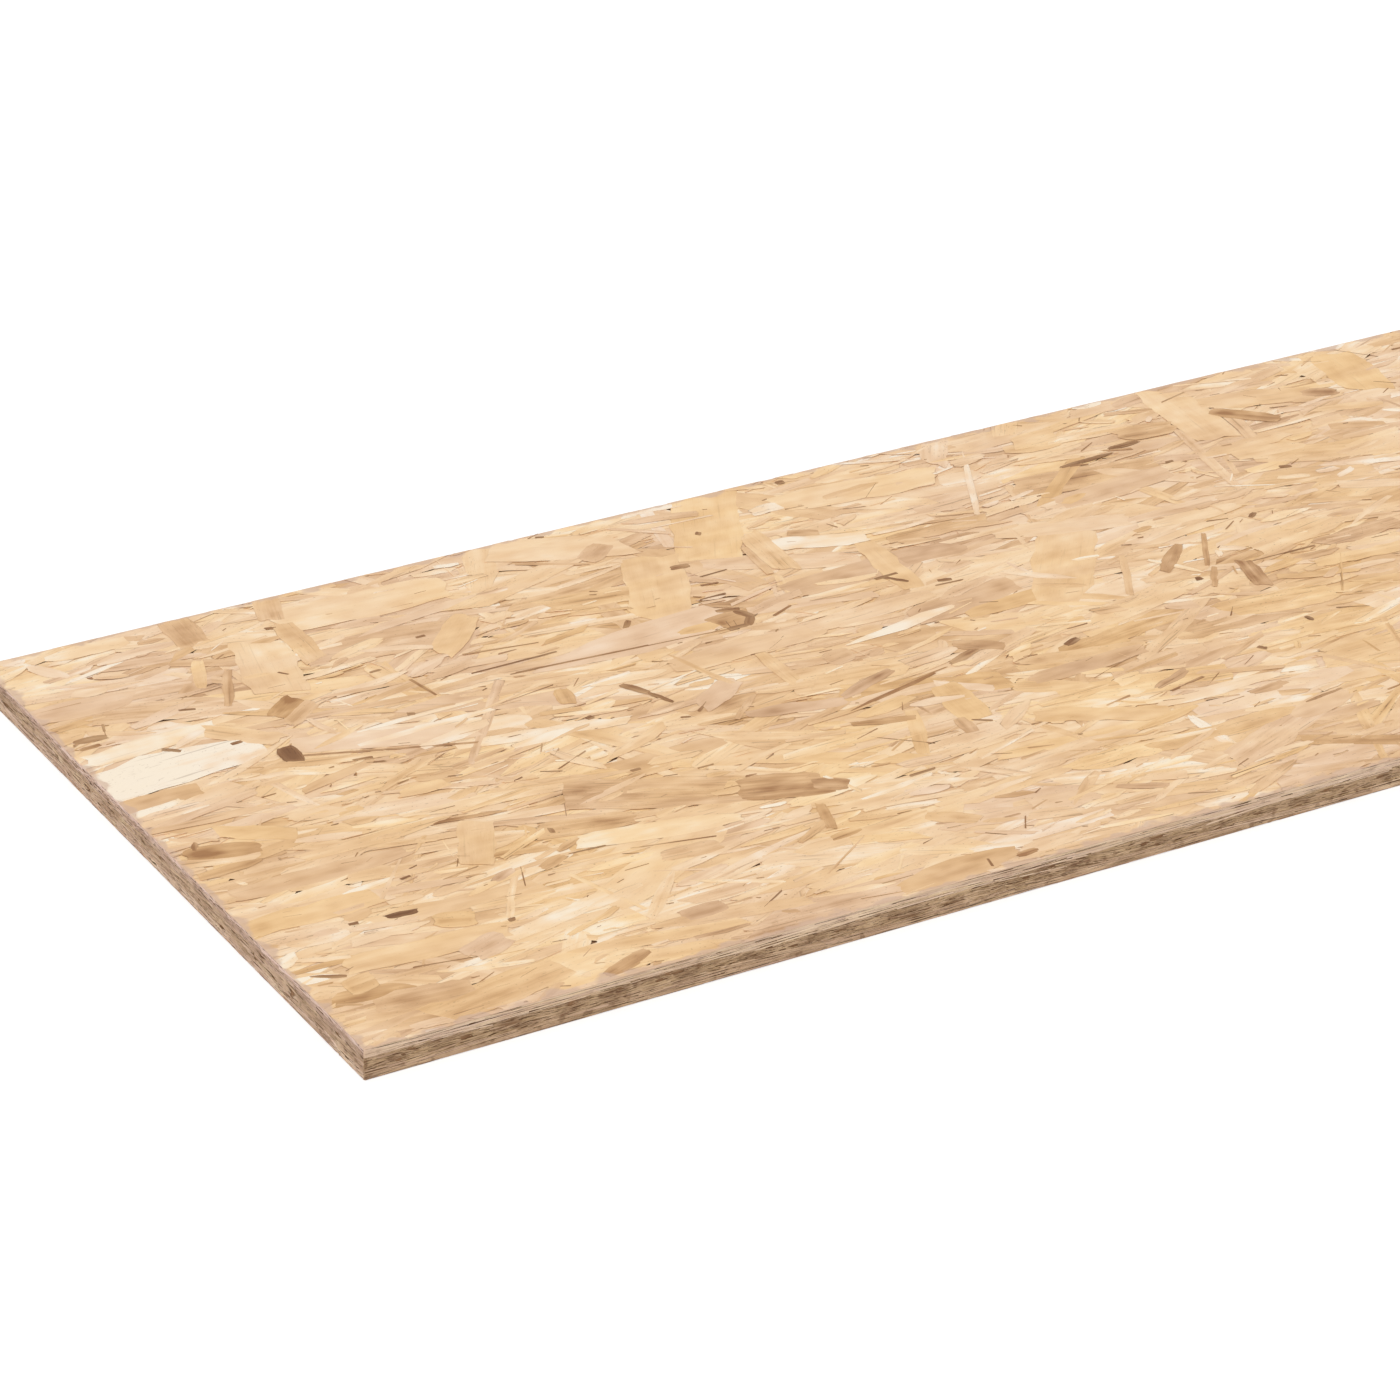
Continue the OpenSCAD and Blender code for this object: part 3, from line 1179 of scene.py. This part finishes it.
def sawn_piece(name, mat, low, high, planes, rows, place, material, rim):
    """The part of a mat between two corners, trimmed to planes and put in its place."""
    made = joined_arrays(mat, low[1], high[1], rim)
    mesh = mesh_from_arrays(name, made)
    shape = bmesh.new()
    shape.from_mesh(mesh)
    saw(shape, planes)
    low_m, high_m = (Vector((*corner, 0)) / 1000 for corner in (low, high))
    for i in range(1, rows):
        cut(shape, low_m.lerp(high_m, i / rows), (1, 0, 0), False)
    order = shape.faces.layers.int["order"]
    shape.faces.sort(key=lambda f: f[order])
    shape.to_mesh(mesh)
    shape.free()
    lay_out_map(mesh, low_m, high_m, rows)
    mesh.attributes.remove(mesh.attributes["order"])
    mesh.transform(place)
    mesh.materials.append(material)
    piece = add_object(name, mesh)
    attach(piece, "root")
    triangles = sum(len(p.vertices) - 2 for p in mesh.polygons)
    print(f"{name}: {triangles} triangles")


# %% [markdown]
# ## Colours
#
# A wood colour is easiest to judge as the eye sees it, but a shader counts light, of which a
# middling grey has only a fifth. This turns the one into the other.

# %% Colours as they are seen


def seen(red, green, blue):
    """A colour as it is seen, in steps of 255, as the linear numbers that a shader takes."""
    def linear(c):
        c /= 255
        return c / 12.92 if c <= 0.04045 else ((c + 0.055) / 1.055) ** 2.4

    return (linear(red), linear(green), linear(blue), 1.0)


print("a middling grey counts as", [round(c, 3) for c in seen(128, 128, 128)])

# %% [markdown]
# ## Shader maths in plain Python
#
# A wood pattern is a long sum of noises and masks. Wiring each Math node by hand hides the
# formula, so a small class wraps a socket and lets Python's own signs make the nodes.

# %% Values


class Value:
    """A shader socket that Python's signs work on."""

    def __init__(self, maker, socket):
        self.maker, self.socket = maker, socket

    def out(self, name):
        """Another output of the same node."""
        return Value(self.maker, self.socket.node.outputs[name])

    def math(self, operation, *others):
        """A Math node that takes this value first."""
        return self.maker.node("ShaderNodeMath", {"operation": operation}, [self, *others])

    def __add__(self, other):
        return self.math("ADD", other)

    def __mul__(self, other):
        return self.math("MULTIPLY", other)

    def __sub__(self, other):
        return self.math("SUBTRACT", other)

    def __rsub__(self, other):
        return self.maker.node("ShaderNodeMath", {"operation": "SUBTRACT"}, [other, self])

    def __truediv__(self, other):
        return self.math("DIVIDE", other)

    def __pow__(self, other):
        return self.math("POWER", other)

    __radd__, __rmul__ = __add__, __mul__

    def clamped(self):
        """Held between 0 and 1."""
        return self.maker.node("ShaderNodeClamp", {}, [self])

    def between(self, low, high):
        """0 below low, 1 above high, and a smooth rise between them."""
        settings = {"interpolation_type": "SMOOTHSTEP"}
        return self.maker.node("ShaderNodeMapRange", settings, [self, low, high, 0.0, 1.0])


print("a value knows", ", ".join(name for name in vars(Value) if "_" not in name))

# %% [markdown]
# ## One way to make any node
#
# Each material has a maker, which adds nodes of any kind by the same method: first the settings
# of the node, then what its sockets are linked or set to. The nodes that are used most have
# short methods of their own.

# %% A maker of materials


class Maker:
    """Makes one material's nodes."""

    def __init__(self, name):
        self.material = bpy.data.materials.new(name)
        self.material.use_nodes = True
        self.tree = self.material.node_tree
        self.shader = self.tree.nodes["Principled BSDF"]

    def node(self, kind, settings=None, inputs=()):
        """Adds a node of a kind, with its settings first and then its sockets' values or links."""
        made = self.tree.nodes.new(kind)
        for key, value in (settings or {}).items():
            if key == "stops":
                self.set_stops(made.color_ramp, value)
            else:
                setattr(made, key, value)
        named = inputs.items() if isinstance(inputs, dict) else enumerate(inputs)
        for key, value in named:
            self.feed(made.inputs[key], value)
        return Value(self, next(o for o in made.outputs if o.enabled))

    def set_stops(self, ramp, stops):
        """Gives a colour ramp its stops, each a place and a colour."""
        while len(ramp.elements) < len(stops):
            ramp.elements.new(0.5)
        for element, (place, colour) in zip(ramp.elements, stops):
            element.position, element.color = place, colour

    def feed(self, socket, value):
        """Links a socket, or sets it to a plain number or colour."""
        if isinstance(value, Value):
            self.tree.links.new(value.socket, socket)
        else:
            socket.default_value = value

    def attribute(self, name):
        """A value kept at the points of the mesh, as a vector."""
        return self.node("ShaderNodeAttribute", {"attribute_name": name}).out("Vector")

    def noise(self, place, scale, detail=2.0, roughness=0.5):
        """Cloudy noise from 0 to 1, with a scale for each direction of the place."""
        scaled = self.node("ShaderNodeVectorMath", {"operation": "MULTIPLY"}, [place, scale])
        inputs = {"Vector": scaled, "Scale": 1.0, "Detail": detail, "Roughness": roughness}
        return self.node("ShaderNodeTexNoise", {}, inputs)

    def ramp(self, value, stops):
        """The colour that stops give to a value."""
        return self.node("ShaderNodeValToRGB", {"stops": stops}, [value])

    def mix(self, share, first, second, blend="MIX"):
        """One colour over another. The node's colour sockets are numbers 6, 7 and, out, 2."""
        settings = {"data_type": "RGBA", "blend_type": blend}
        node = self.node("ShaderNodeMix", settings, {"Factor": share}).socket.node
        self.feed(node.inputs[6], first)
        self.feed(node.inputs[7], second)
        return Value(self, node.outputs[2])

    def finish(self, colour, roughness, height=None, strength=0.0, depth=0.0):
        """Gives the surface its colour and dullness, and bumps it by a height up to a depth."""
        self.feed(self.shader.inputs["Base Color"], colour)
        self.feed(self.shader.inputs["Roughness"], roughness)
        if height is not None:
            inputs = {"Strength": strength, "Distance": depth, "Height": height}
            self.feed(self.shader.inputs["Normal"], self.node("ShaderNodeBump", {}, inputs))
        print(f"{self.material.name}: {len(self.tree.nodes)} nodes")
        return self.material


print("a maker can", ", ".join(name for name in vars(Maker) if "__" not in name))

# %% [markdown]
# ## What all strand wood has
#
# Inside a strand the growth rings make soft bands and the fibres make fine streaks, both drawn
# out along its own grain. So their noises are stretched along the grain, and they read it
# from the mesh, where it turns with the strand. A pattern on the board's own axes would run
# straight through strands that lie across.

# %% Bands and fibres
# One dark brown serves for real marks and bark, and for painted shade along strand outlines and in
# pits.
DARK_WOOD_AND_SHADE = seen(122, 80, 46)
YELLOW_TINT = (1.03, 1.01, 0.89, 1)


def wood_layers(maker):
    """What every strand material starts from: looks, rim, place, grain, bands and fibres."""
    looks = maker.node("ShaderNodeSeparateXYZ", {}, [maker.attribute("looks")])
    grain = maker.attribute("grain")
    return SimpleNamespace(
        tone=looks.out("X"), hue=looks.out("Y"), dark=looks.out("Z"), grain=grain,
        rim=maker.node("ShaderNodeAttribute", {"attribute_name": "rim"}).out("Fac"),
        place=maker.node("ShaderNodeTexCoord").out("Object"),
        bands=maker.noise(grain, (16, 170, 1)) - 0.5,
        fibres=maker.noise(grain, (90, 1300, 1), 3.0, 0.6) - 0.5,
    )


print("dark wood counts as", [round(c, 3) for c in DARK_WOOD_AND_SHADE])

# %% [markdown]
# ## The tone of pressed wood
#
# Pine, spruce and aspen strands differ in colour from cream to a pinkish tan, so each strand
# has its own place on a ramp of tones. Its bands are strong in one strand and faint in the
# next. The press blurs the outlines: over a strand's skirt the tone fades here and there
# towards the usual one. Slow clouds and smears lie across all strands alike.

# %% Tone of the faces
STRAND_TONES = (
    (0.0, seen(255, 240, 217)),
    (0.2, seen(252, 221, 181)),
    (0.4, seen(243, 205, 160)),
    (0.6, seen(229, 187, 140)),
    (0.8, seen(206, 161, 114)),
    (1.0, seen(170, 122, 78)),
)
USUAL_TONE = 0.36


def face_layers(maker):
    """What pressed wood has besides: blotches, a blurred outline and how clean a strand is."""
    wood = wood_layers(maker)
    wood.blotches = maker.noise(wood.grain, (40, 65, 1), 1.0) - 0.5
    wood.blurred = (wood.rim * 2).clamped() * (wood.blotches * 4 + 0.5).clamped()
    wood.clean = (1 + wood.dark * 1.5).clamped()
    return wood


def face_tone(maker, wood):
    """From cream to brown: the strand's own tone and figure, the blur, clouds and smears."""
    seed = maker.node("ShaderNodeSeparateXYZ", {}, [wood.grain]).out("Z")
    strength = maker.node("ShaderNodeTexWhiteNoise", {"noise_dimensions": "1D"}, {"W": seed})
    streaks = maker.noise(wood.grain, (30, 420, 1), 1.0) - 0.5
    figure = (wood.bands + streaks * 0.4) * ((strength * 0.7 + 0.2) * wood.clean)
    own_tone = wood.tone + figure + wood.blotches * (0.35 + 0.7 * wood.tone ** 2)
    fade = wood.blurred * ((1.1 - wood.tone) * 2).clamped() * 0.4
    clouds = maker.noise(wood.place, (9, 18, 1), 3.0) - 0.5
    smears = maker.noise(wood.place, (15, 80, 1)) - 0.5
    blurred_tone = own_tone * (1 - fade) + fade * USUAL_TONE
    return blurred_tone + wood.fibres * 0.10 + clouds * 0.6 + smears * 0.4


print("tones from cream to brown:", len(STRAND_TONES))

# %% [markdown]
# ## Marks, stains, painted shade and a greyer strip
#
# Dark lines and dashes are checks in the grain, and specks are cut pores and dust. Bark is
# stained all over. Along the outlines of strands the wood is darkened in broken lines, as painted
# shade in the hollows between strands. Beside the sawn edges the wood turns greyer and pinker, in
# a strip of uneven width, which comes from the distance to the nearest side of the board.

# %% Stains and painted shade of the faces


def face_marks_and_shade(maker, wood):
    """How far checks, dashes, specks, bark and painted shade along strand outlines darken the wood.
    """
    checks = maker.noise(wood.grain, (24, 520, 1), 0.0).between(0.70, 0.86)
    dashes = maker.noise(wood.grain, (150, 800, 1), 1.0).between(0.66, 0.78)
    specks = maker.noise(wood.grain, (420, 700, 1), 1.0).between(0.68, 0.78)
    marks = (checks * 0.42 + dashes * 0.34 + specks * 0.46) * wood.clean
    # Painted shade: broken dark lines along strand outlines, where one strand's edge meets the
    # next.
    outline = (wood.rim * 2 - 1).clamped() ** 3
    shade = outline * maker.noise(wood.grain, (30, 60, 1), 1.0).between(0.55, 0.7)
    bark = wood.dark.clamped() * (wood.bands * 1.2 + 1) * (1 - wood.blurred * 0.35)
    return marks + shade * 0.5 + bark


def edge_strip(maker, place):
    """1 in a strip of uneven width beside the sawn edges, and 0 inside."""
    at = maker.node("ShaderNodeSeparateXYZ", {}, [place])
    from_end = BOARD_LENGTH / 2 / 1000 - at.math("ABSOLUTE")
    from_side = BOARD_WIDTH / 2 / 1000 - at.out("Y").math("ABSOLUTE")
    from_edge = from_end.math("MINIMUM", from_side)
    reach = (maker.noise(place, (45, 45, 1)) - 0.5) * 0.03 + 0.0045
    return ((reach - from_edge) / 0.003).clamped()


# %% [markdown]
# ## Pressed strand wood
#
# The tone picks the colour, a tint makes it yellower or pinker, and the stains and painted
# shade along strand outlines darken it. The sheen is low: the press leaves the face smooth,
# and a trace of wax and resin makes it shine a little more than sawn wood. The grain is felt
# more than seen, so a faint bump is enough.

# %% Material of the faces
PINK_TINT = (0.97, 0.985, 1.11, 1)
EDGE_STRIP_WOOD = seen(214, 181, 157)


def face_wood():
    """Pressed wood: a tone, a yellow or pink tint, dark marks, painted shade and a greyer edge
    strip.
    """
    maker = Maker("pressed_strand_wood")
    wood = face_layers(maker)
    tone = face_tone(maker, wood)
    patches = maker.noise(wood.place, (12, 30, 5), 3.0) - 0.5
    pinkness = 0.5 + (wood.hue - 0.5 + patches) * (tone * 2 + 0.3).clamped()
    tint = maker.mix(pinkness.clamped(), YELLOW_TINT, PINK_TINT)
    colour = maker.mix(1.0, maker.ramp(tone, STRAND_TONES), tint, "MULTIPLY")
    # Real marks and bark, and painted shade along strand outlines, all darken towards one brown.
    colour = maker.mix(face_marks_and_shade(maker, wood), colour, DARK_WOOD_AND_SHADE)
    # A greyer, pinker strip of uneven width beside the sawn edges.
    colour = maker.mix(edge_strip(maker, wood.place) * 0.7, colour, EDGE_STRIP_WOOD)
    height = wood.fibres * 0.6 + wood.bands * 0.4
    return maker.finish(colour, wood.fibres * 0.25 + 0.6, height, 0.25, 0.0003)


face_material = face_wood()

# %% [markdown]
# ## Sawn wood of the edges
#
# End grain and split grain take the light duller and greyer than the pressed face, with
# mottles from strand to strand. The core is browner, because its strands are smaller, hold
# more bark and were packed less tightly. Painted shade darkens a faint line along the outline
# of each cut strand, and dark spots in the darker strands are painted shade for small pits.

# %% Material of the edges
EDGE_TONES = (
    (0.0, seen(252, 226, 202)),
    (0.25, seen(238, 211, 183)),
    (0.5, seen(216, 184, 153)),
    (0.75, seen(192, 160, 126)),
    (1.0, seen(142, 108, 78)),
)
SAWN_PINK_TINT = (1.0, 0.95, 1.035, 1)


def edge_wood():
    """Sawn wood: mottled tones, a tint, and painted shade along outlines and in pits of dark
    strands.
    """
    maker = Maker("sawn_strand_wood")
    wood = wood_layers(maker)
    mottles = maker.noise(wood.place, (50, 50, 80), 3.0, 0.55) - 0.5
    figure = (wood.bands * 0.3 + wood.fibres * 0.2) * wood.tone
    tone = wood.tone + figure + mottles * (wood.tone * 0.9 + 0.4)
    tint = maker.mix((wood.hue + mottles).clamped(), YELLOW_TINT, SAWN_PINK_TINT)
    colour = maker.mix(1.0, maker.ramp(tone, EDGE_TONES), tint, "MULTIPLY")
    # Painted shade: a faint dark line along each cut strand's outline, and dark spots for the shade
    # in small pits.
    outline = (wood.rim * 2 - 1).clamped() * wood.tone
    pit_shade = maker.noise(wood.place, (130, 130, 200), 1.0).between(0.60, 0.72)
    pit_shade = pit_shade * (wood.tone * 3 - 0.6).clamped()
    colour = maker.mix(outline * 0.12 + pit_shade * 0.45, colour, DARK_WOOD_AND_SHADE)
    return maker.finish(colour, wood.fibres * 0.15 + 0.8, wood.fibres, 0.4, 0.0004)


edge_material = edge_wood()

# %% [markdown]
# ## The inside of the mat
#
# Under the strands that were laid is one closed body, a little smaller than the board. It is
# what shows at the bottom of a gap between strands: dull brown wood, darker than the strands, as
# painted shade at the bottom of the gaps. It stands for the CAD solid, whose flat faces would
# otherwise cover the lower strands.

# %% Make the inner mat
FACE_INSET = 1.6  # millimetres, more than any strand of a face lies deep
EDGE_INSET = 1.2
INNER_ARRIS = 0.6
# Painted shade: these browns are darker than the strands, for the shade at the bottom of the gaps.
INNER_SHADE_TONES = ((0.3, seen(128, 90, 58)), (0.7, seen(176, 134, 96)))


def inner_shaded_wood():
    """Brown wood darkened as painted shade for the bottom of the gaps, streaked along the board."""
    maker = Maker("inner_mat_wood_and_shade")
    place = maker.node("ShaderNodeTexCoord").out("Object")
    streaks = maker.noise(place, (60, 400, 900), 3.0)
    return maker.finish(maker.ramp(streaks, INNER_SHADE_TONES), 0.85)


def make_inner_mat():
    """A closed block with worn edges, inset from the board on every side."""
    shape = bmesh.new()
    bmesh.ops.create_cube(shape, size=1)
    inset = Vector((2 * EDGE_INSET, 2 * EDGE_INSET, 2 * FACE_INSET)) / 1000
    bmesh.ops.scale(shape, vec=board_high - board_low - inset, verts=shape.verts)
    bmesh.ops.translate(shape, vec=(board_low + board_high) / 2, verts=shape.verts)
    bmesh.ops.bevel(
        shape, geom=shape.edges[:], offset=INNER_ARRIS / 1000, offset_type="OFFSET",
        segments=2, profile=0.5, affect="EDGES", material=-1,
    )
    inner = object_from("inner_mat", shape, inner_shaded_wood())
    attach(inner, "root")
    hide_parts("board")
    print("inner mat:", [round(1000 * side, 1) for side in inner.dimensions], "mm")


make_inner_mat()

# %% [markdown]
# ## The faces
#
# Each face is the top of its mat, sawn into four strips along the board. The underside is the
# same kind of mat turned over. The rim of a face strand is wide and low, since the press has
# flattened it.

# %% Make the faces
FACE_STRIPS = 4
MAP_ROWS = 2
FACE_RIM = (1.6, 0.10)  # millimetres, how wide the rim is and how far it drops
OVER_TOP = Matrix.Translation((0, 0, board_high.z))
UNDER_BOTTOM = Matrix.Translation((0, 0, board_low.z)) @ Matrix.Rotation(math.pi, 4, "X")


def face_planes(low, high):
    """The sawing planes of one strip of a face: its ends, its sides and any outer corners."""
    planes = [plane(low[0], 0, -1, 0, ARRIS), plane(high[0], 0, 1, 0, ARRIS)]
    for side, y in ((-1, low[1]), (1, high[1])):
        if abs(y) < BOARD_WIDTH / 2:
            planes.append(plane(0, y, 0, side, 0))
            continue
        planes.append(plane(0, y, 0, side, ARRIS))
        for end in (-1, 1):
            planes.append(plane(end * (high[0] - CORNER_ARRIS), y, end, side, ARRIS))
    return planes


for side, mat, place in (("top", top_mat, OVER_TOP), ("underside", under_mat, UNDER_BOTTOM)):
    for strip in range(FACE_STRIPS):
        low = (-BOARD_LENGTH / 2, (strip / FACE_STRIPS - 0.5) * BOARD_WIDTH)
        high = (BOARD_LENGTH / 2, ((strip + 1) / FACE_STRIPS - 0.5) * BOARD_WIDTH)
        sawn_piece(
            f"{side}_strands_{strip + 1}", mat, low, high,
            face_planes(low, high), MAP_ROWS, place, face_material, FACE_RIM,
        )

# %% [markdown]
# ## The edges
#
# Each edge mat is stood upright against its side of the board. It is trimmed where the worn
# arrises of the faces begin, and the long edges are worn at their ends as well, so that the
# corners of the board are rounded off as on the CAD solid.

# %% Make the edges
EDGE_RIM = (0.12, 0.05)
EDGES = (  # name, turn about the upright axis, distance from the middle, map rows, end and wear
    ("right", 0, BOARD_WIDTH / 2, 5, BOARD_LENGTH / 2, CORNER_ARRIS),
    ("left", 180, BOARD_WIDTH / 2, 5, BOARD_LENGTH / 2, CORNER_ARRIS),
    ("back", -90, BOARD_LENGTH / 2, 2, BOARD_WIDTH / 2 - CORNER_ARRIS, 0),
    ("front", 90, BOARD_LENGTH / 2, 2, BOARD_WIDTH / 2 - CORNER_ARRIS, 0),
)

for name, turn, distance, rows, end, worn in EDGES:
    top = BOARD_THICKNESS / 2 - ARRIS
    planes = [plane(-end, 0, -1, 0, worn), plane(end, 0, 1, 0, worn)]
    planes += [plane(0, -top, 0, -1, 0), plane(0, top, 0, 1, 0)]
    place = (
        Matrix.Rotation(math.radians(turn), 4, "Z")
        @ Matrix.Translation((0, -distance / 1000, BOARD_THICKNESS / 2 / 1000))
        @ Matrix.Rotation(math.pi / 2, 4, "X")
    )
    sawn_piece(
        f"{name}_edge_strands", edge_mats[name], (-end, -top), (end, top),
        planes, rows, place, edge_material, EDGE_RIM,
    )

# %% [markdown]
# ## The finished size
#
# The strands were cut to the board's outline, so the finished model must measure the same as
# the CAD solid.

# %% Finish
bpy.context.view_layer.update()
